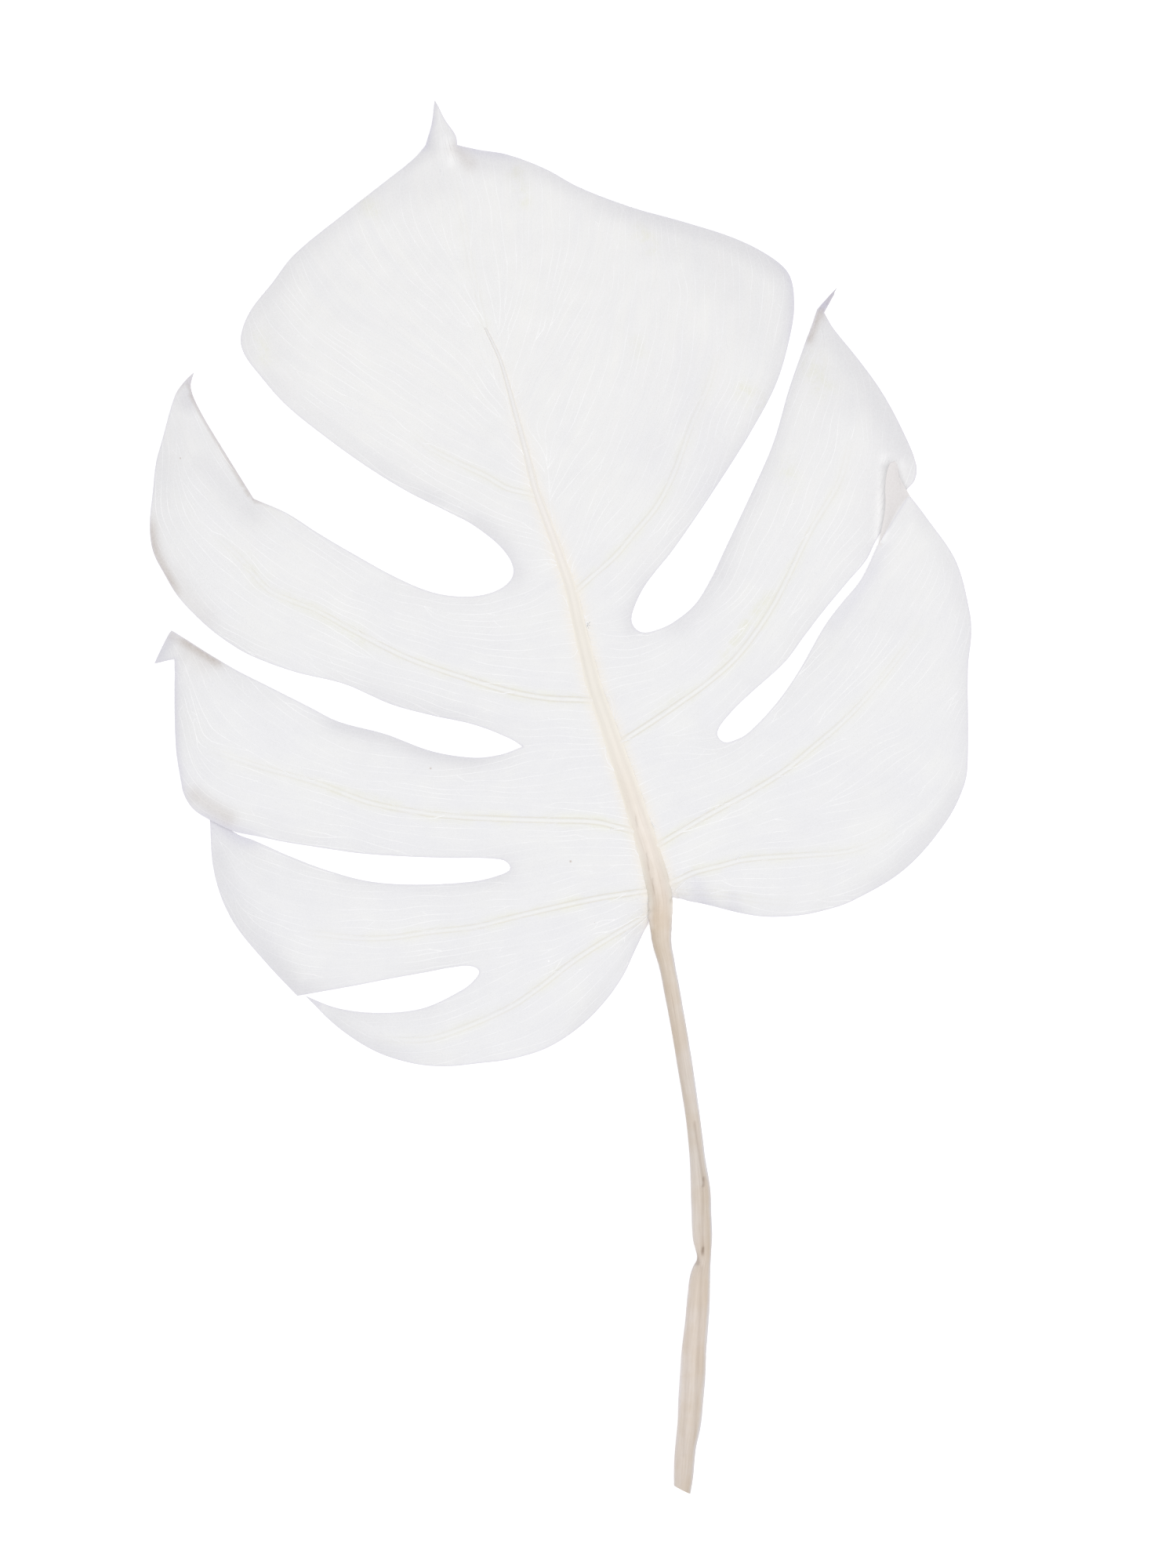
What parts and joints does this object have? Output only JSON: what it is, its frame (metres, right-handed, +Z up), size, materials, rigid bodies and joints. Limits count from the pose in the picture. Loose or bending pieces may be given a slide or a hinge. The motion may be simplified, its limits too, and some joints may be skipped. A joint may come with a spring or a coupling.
{
  "type": "monstera leaf",
  "caption": "Bleached, dried monstera leaf lying flat: a thin white blade with deep slits, raised veins and waved, curling margins, on a tan stalk that runs on as its midrib",
  "frame": {"origin": "centre of the bounding box, on the surface that the leaf lies on", "axes": "+Y runs from the cut end of the stalk to the tip of the blade, +Z is up, out of the veined face, and +X is to the right seen from above with the tip up"},
  "size_m": [0.2624, 0.4439, 0.0094],
  "materials": {
    "bleached_blade": "matte",
    "dried_stalk": "matte"
  },
  "bodies": {
    "root": {"leaf_blade": "bleached_blade", "petiole_and_midrib": "dried_stalk"}
  },
  "joints": []
}
